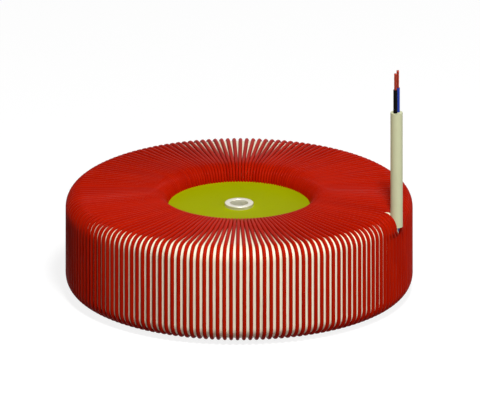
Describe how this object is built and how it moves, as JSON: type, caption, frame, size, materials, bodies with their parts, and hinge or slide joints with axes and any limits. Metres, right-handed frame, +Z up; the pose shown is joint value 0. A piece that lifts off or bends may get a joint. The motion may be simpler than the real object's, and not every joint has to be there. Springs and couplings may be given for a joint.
{
  "type": "toroidal transformer",
  "caption": "Flat ring-shaped mains transformer: red wire wound round a taped steel ring, a resin-filled centre with a metal bolt bushing, and a short two-core cable.",
  "frame": {"origin": "middle of the base, on the axis of the fixing hole", "axes": "+Z up along the fixing hole's axis; the cable stands at the +X side, towards -Y"},
  "size_m": [0.15, 0.15, 0.1101],
  "materials": {
    "steel": "satin",
    "cap": "matte",
    "copper": "satin",
    "tape": "satin",
    "red_wire": "gloss",
    "resin": "satin",
    "bushing": "satin",
    "jacket": "satin",
    "black_insulation": "satin",
    "blue_insulation": "satin",
    "solder": "satin"
  },
  "bodies": {
    "root": {"steel_core": "steel", "core_cap_lower": "cap", "core_cap_upper": "cap", "primary_winding": "copper", "outer_insulation": "tape", "secondary_winding": "red_wire", "centre_potting": "resin", "centre_bushing": "bushing", "cable_jacket": "jacket", "black_core": "black_insulation", "blue_core": "blue_insulation", "black_conductor": "copper", "blue_conductor": "copper", "black_joint": "solder", "blue_joint": "solder"}
  },
  "joints": []
}
